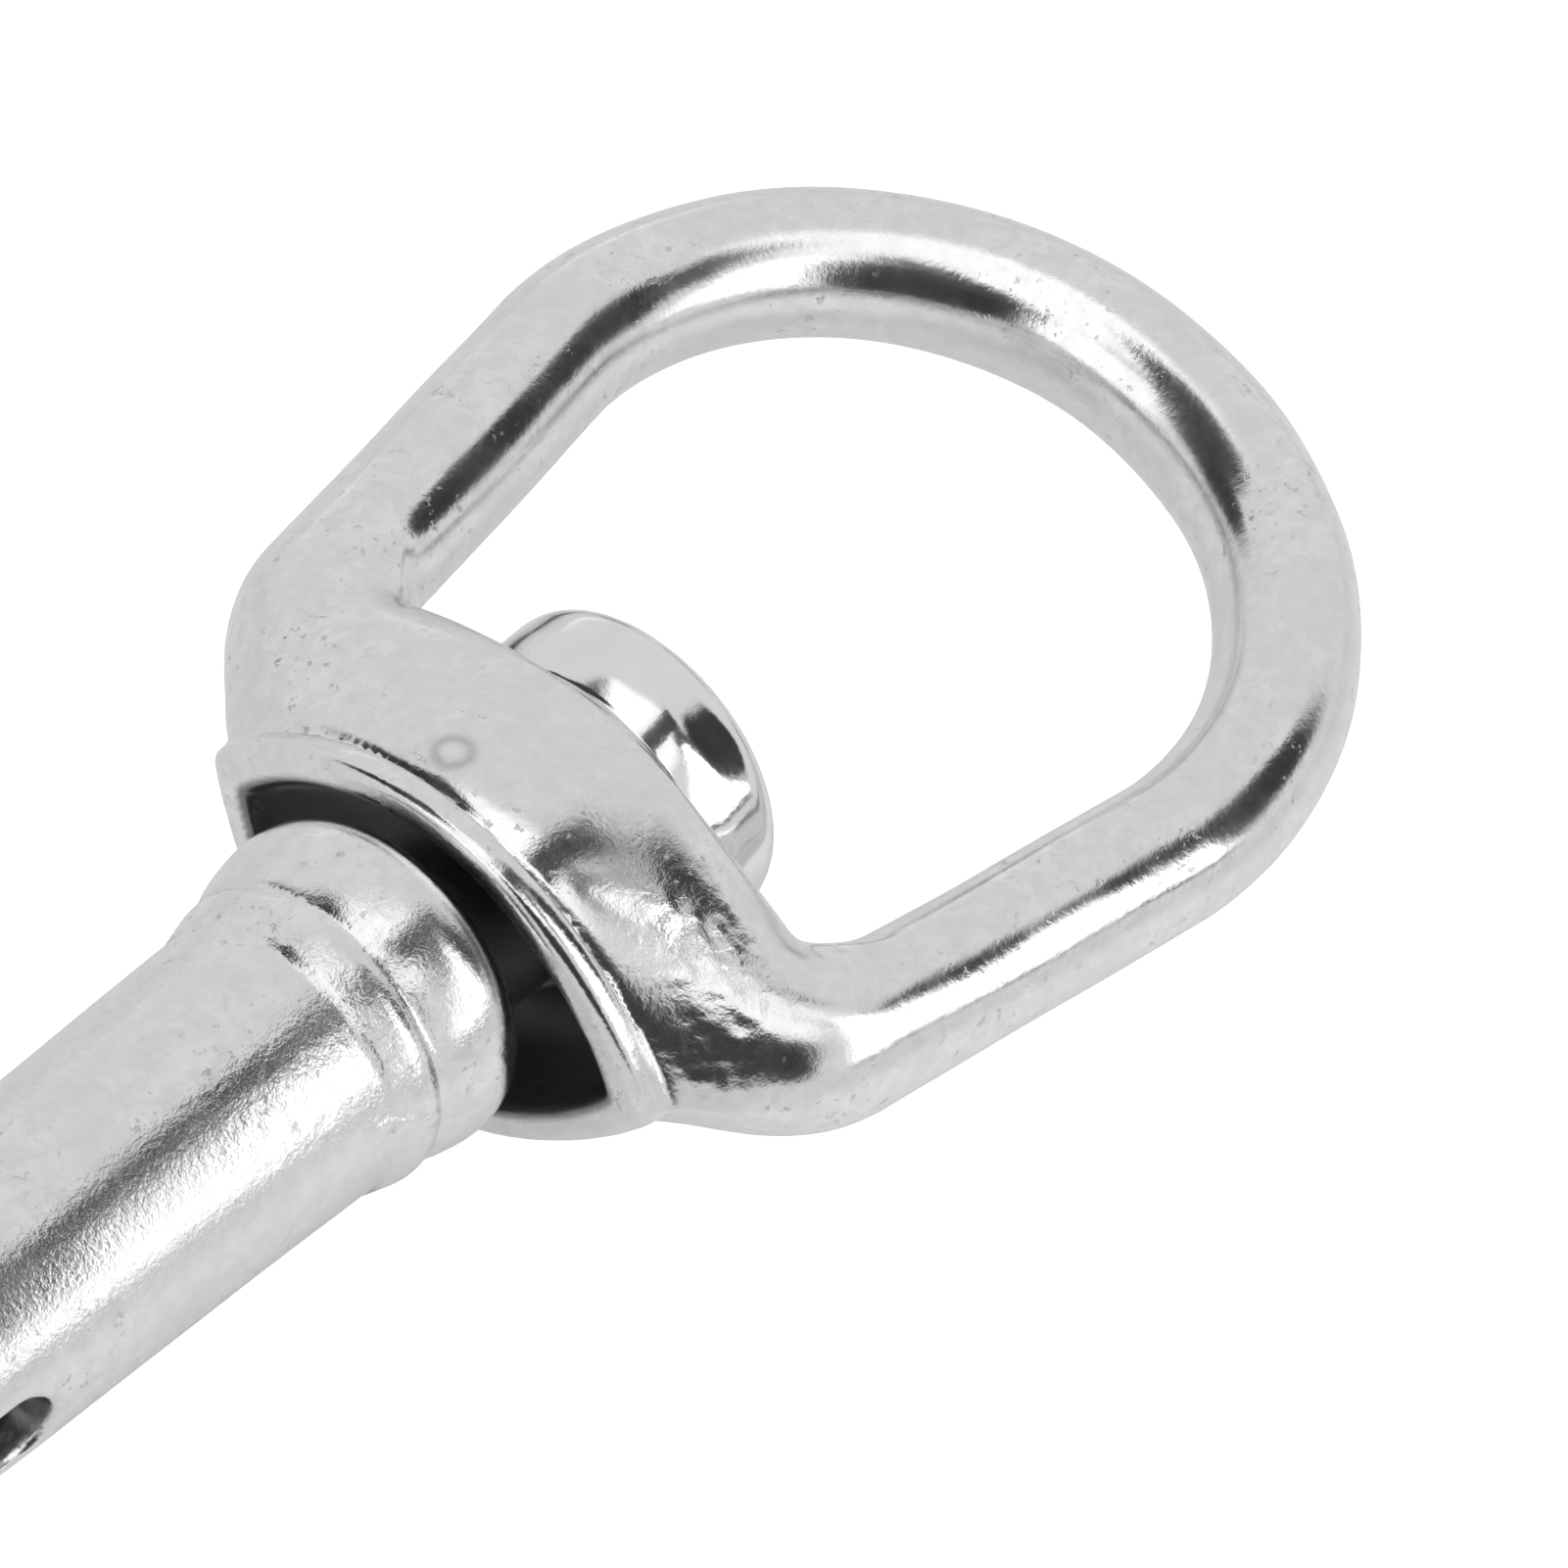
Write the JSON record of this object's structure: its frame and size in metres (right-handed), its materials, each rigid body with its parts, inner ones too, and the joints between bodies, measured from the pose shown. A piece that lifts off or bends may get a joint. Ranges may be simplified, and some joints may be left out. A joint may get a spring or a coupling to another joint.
{
  "type": "swivel hook",
  "caption": "Swivel-eye bolt snap: D-shaped swivel eye riveted to a barrelled hook whose gate is a sprung sliding bolt with a thumb knob.",
  "frame": {"origin": "on the swivel axis, at the point inside the top of the eye where a strap or cord bears", "axes": "+X along the swivel axis from the hook towards the eye's top, +Y towards the back of the hook, +Z out of the flat of the hook"},
  "size_m": [0.1018, 0.0344, 0.012],
  "materials": {
    "plated_casting": "bright nickel plating over a slightly uneven casting",
    "plated_rivet": "bright nickel plating, formed head",
    "plated_turned": "bright nickel plating over turned steel",
    "spring_steel": "drawn spring wire"
  },
  "bodies": {
    "hook": {"hook_body": "plated_casting", "swivel_rivet": "plated_rivet", "bolt_spring": "spring_steel"},
    "eye": {"swivel_eye": "plated_casting"},
    "gate_bolt": {"bolt": "plated_turned", "thumb_knob": "plated_turned"}
  },
  "joints": [
    {"name": "swivel", "type": "hinge", "parent": "hook", "child": "eye", "pos_m": [-0.03186, 0, 0], "axis": [1, 0, 0], "continuous": true},
    {"name": "bolt_slide", "type": "slide", "parent": "hook", "child": "gate_bolt", "axis": [1, 0, 0], "range_m": [0, 0.0109], "stiffness_N_per_m": 350, "springref_m": -0.008, "deforming": ["bolt_spring"]}
  ]
}
